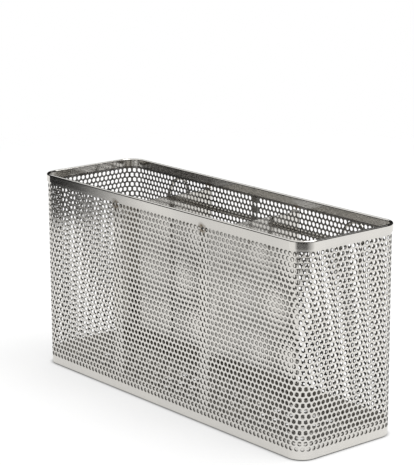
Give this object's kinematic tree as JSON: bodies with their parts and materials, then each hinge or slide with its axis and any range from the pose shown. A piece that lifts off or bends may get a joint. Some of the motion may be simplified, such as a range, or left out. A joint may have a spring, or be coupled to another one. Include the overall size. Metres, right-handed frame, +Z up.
{
  "type": "chopstick holder",
  "caption": "Long rounded box of perforated stainless sheet with a folded rim, a drained base, polished upright dividers and wire hanging loops, for standing chopsticks and cutlery.",
  "frame": {"origin": "on the table, under the middle of the box, on the tray's underside", "axes": "+Z up, +X along the long side to the right when the front is faced, -Y towards the front, hanging loops on +Y"},
  "size_m": [0.245, 0.0822, 0.125],
  "materials": {
    "perforated_sheet": "satin stainless sheet, punched in staggered rows",
    "rim_steel": "satin outside, brighter along the fold",
    "base_steel": "satin stainless tray",
    "polished_plate": "mirror-polished stainless plate",
    "wire_steel": "drawn stainless wire"
  },
  "bodies": {
    "root": {"wall_wrap": "perforated_sheet", "rim_band": "rim_steel", "base_pan": "base_steel", "divider_left": "polished_plate", "divider_right": "polished_plate", "hanging_loop_left": "wire_steel", "hanging_loop_right": "wire_steel", "hanging_bar": "wire_steel"}
  },
  "joints": []
}
